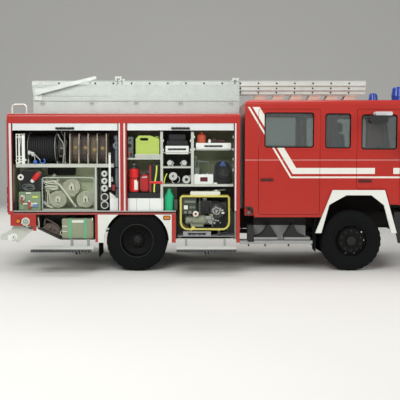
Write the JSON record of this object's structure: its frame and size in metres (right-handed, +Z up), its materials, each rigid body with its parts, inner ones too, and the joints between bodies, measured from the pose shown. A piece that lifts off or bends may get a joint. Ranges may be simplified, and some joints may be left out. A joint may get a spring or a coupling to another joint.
{
  "type": "fire engine",
  "caption": "Four-wheel-drive crew-cab fire engine with open equipment lockers, fold-down step flaps and a roof ladder.",
  "frame": {"origin": "on the ground, on the centre plane, midway between the bumper's face and the tow jaw's back", "axes": "+X forward, +Y to the left, +Z up"},
  "size_m": [7.25, 3.506, 3.29],
  "materials": {
    "red_paint": "gloss red paint",
    "white_paint": "satin white paint",
    "chassis_grey": "satin dark grey chassis paint",
    "step_metal": "dull galvanised steel",
    "aluminium": "mill-finish aluminium sheet",
    "shutter_aluminium": "anodised shutter slats",
    "locker_sheet": "grey-green painted sheet",
    "black_plastic": "matt black plastic",
    "tyre_rubber": "road tyre rubber",
    "rim_paint": "black painted steel wheel",
    "glass": "clear window glass",
    "lamp_glass": "coloured lamp glass",
    "rubber": "black rubber",
    "hose_cloth": "woven hose jacket",
    "hose_rubber": "black hose rubber",
    "case_plastic": "moulded cases and bags",
    "canister": "coloured canisters",
    "fitting_metal": "cast light alloy",
    "generator_yellow": "yellow painted tube",
    "engine_grey": "cast engine parts"
  },
  "bodies": {
    "vehicle": {"axles": "chassis_grey", "body_floor": "locker_sheet", "body_roof": "red_paint", "body_sides": "red_paint", "bumper": "black_plastic", "cab_glazing": "glass", "cab_interior": "black_plastic", "cab_roof": "red_paint", "cab_shell": "red_paint", "cab_sides": "red_paint", "canisters": "canister", "cases": "case_plastic", "chassis_frame": "chassis_grey", "chocks": "black_plastic", "driveline": "chassis_grey", "fittings": "fitting_metal", "gallery": "aluminium", "hoses": "hose_cloth", "ladder": "aluminium", "ladder_brackets": "aluminium", "lamps": "lamp_glass", "leaf_springs": "chassis_grey", "locker_walls": "locker_sheet", "lower_lockers": "locker_sheet", "mirrors": "black_plastic", "mudflaps": "rubber", "shelves": "locker_sheet", "shutters": "shutter_aluminium", "steps": "step_metal", "tank_boxes": "chassis_grey", "tow_jaw": "chassis_grey", "wheel_arches": "white_paint"},
    "steering_right": {"knuckle_right": "chassis_grey"},
    "front_wheel_right": {"tyre_front_right": "tyre_rubber", "rim_front_right": "rim_paint"},
    "rear_wheels_right": {"tyres_rear_right": "tyre_rubber", "rims_rear_right": "rim_paint"},
    "front_door_right": {"door_front_right": "red_paint", "glass_front_right": "glass", "kerb_mirror": "black_plastic"},
    "crew_door_right": {"door_crew_right": "red_paint", "glass_crew_right": "glass"},
    "rear_step_right": {"flap_rear_right": "step_metal"},
    "front_step_right": {"flap_front_right": "step_metal"},
    "steering_left": {"knuckle_left": "chassis_grey"},
    "front_wheel_left": {"tyre_front_left": "tyre_rubber", "rim_front_left": "rim_paint"},
    "rear_wheels_left": {"tyres_rear_left": "tyre_rubber", "rims_rear_left": "rim_paint"},
    "front_door_left": {"door_front_left": "red_paint", "glass_front_left": "glass"},
    "crew_door_left": {"door_crew_left": "red_paint", "glass_crew_left": "glass"},
    "rear_step_left": {"flap_rear_left": "step_metal"},
    "front_step_left": {"flap_front_left": "step_metal"},
    "generator": {"generator_tray": "locker_sheet", "generator_frame": "generator_yellow", "generator_engine": "engine_grey"},
    "lowering_arm": {"ladder_arm": "aluminium"},
    "hose_drum": {"hose_reel": "hose_rubber"}
  },
  "joints": [
    {"name": "steer_right", "type": "hinge", "parent": "vehicle", "child": "steering_right", "pos_m": [2.325, -0.88, 0.51], "axis": [0, 0, 1], "range_deg": [-35, 35]},
    {"name": "spin_front_right", "type": "hinge", "parent": "steering_right", "child": "front_wheel_right", "pos_m": [2.325, -1.04, 0.51], "axis": [0, 1, 0], "continuous": true},
    {"name": "spin_rear_right", "type": "hinge", "parent": "vehicle", "child": "rear_wheels_right", "pos_m": [-1.275, -1.072, 0.51], "axis": [0, 1, 0], "continuous": true},
    {"name": "open_front_door_right", "type": "hinge", "parent": "vehicle", "child": "front_door_right", "pos_m": [3.099, -1.25, 1.9], "axis": [0, 0, 1], "range_deg": [0, 70]},
    {"name": "open_crew_door_right", "type": "hinge", "parent": "vehicle", "child": "crew_door_right", "pos_m": [1.774, -1.25, 1.9], "axis": [0, 0, 1], "range_deg": [0, 70]},
    {"name": "fold_rear_step_right", "type": "hinge", "parent": "vehicle", "child": "rear_step_right", "pos_m": [-2.443, -1.222, 0.419], "axis": [1, 0, 0], "range_deg": [-90, 0]},
    {"name": "fold_front_step_right", "type": "hinge", "parent": "vehicle", "child": "front_step_right", "pos_m": [-0.11, -1.222, 0.419], "axis": [1, 0, 0], "range_deg": [-90, 0]},
    {"name": "steer_left", "type": "hinge", "parent": "vehicle", "child": "steering_left", "pos_m": [2.325, 0.88, 0.51], "axis": [0, 0, 1], "range_deg": [-35, 35]},
    {"name": "spin_front_left", "type": "hinge", "parent": "steering_left", "child": "front_wheel_left", "pos_m": [2.325, 1.04, 0.51], "axis": [0, 1, 0], "continuous": true},
    {"name": "spin_rear_left", "type": "hinge", "parent": "vehicle", "child": "rear_wheels_left", "pos_m": [-1.275, 1.072, 0.51], "axis": [0, 1, 0], "continuous": true},
    {"name": "open_front_door_left", "type": "hinge", "parent": "vehicle", "child": "front_door_left", "pos_m": [3.099, 1.25, 1.9], "axis": [0, 0, -1], "range_deg": [0, 70]},
    {"name": "open_crew_door_left", "type": "hinge", "parent": "vehicle", "child": "crew_door_left", "pos_m": [1.774, 1.25, 1.9], "axis": [0, 0, -1], "range_deg": [0, 70]},
    {"name": "fold_rear_step_left", "type": "hinge", "parent": "vehicle", "child": "rear_step_left", "pos_m": [-2.443, 1.222, 0.419], "axis": [-1, 0, 0], "range_deg": [-90, 0]},
    {"name": "fold_front_step_left", "type": "hinge", "parent": "vehicle", "child": "front_step_left", "pos_m": [-0.11, 1.222, 0.419], "axis": [-1, 0, 0], "range_deg": [-90, 0]},
    {"name": "slide_generator", "type": "slide", "parent": "vehicle", "child": "generator", "axis": [0, -1, 0], "range_m": [0, 0.6]},
    {"name": "swing_lowering_arm", "type": "hinge", "parent": "vehicle", "child": "lowering_arm", "pos_m": [-2.905, -1.16, 2.99], "axis": [0, -1, 0], "range_deg": [0, 150]},
    {"name": "turn_hose_drum", "type": "hinge", "parent": "vehicle", "child": "hose_drum", "pos_m": [-2.858, -0.93, 2.07], "axis": [1, 0, 0], "continuous": true}
  ],
  "couplings": [
    {"joint": "steer_left", "follows": "steer_right", "ratio": 1}
  ]
}
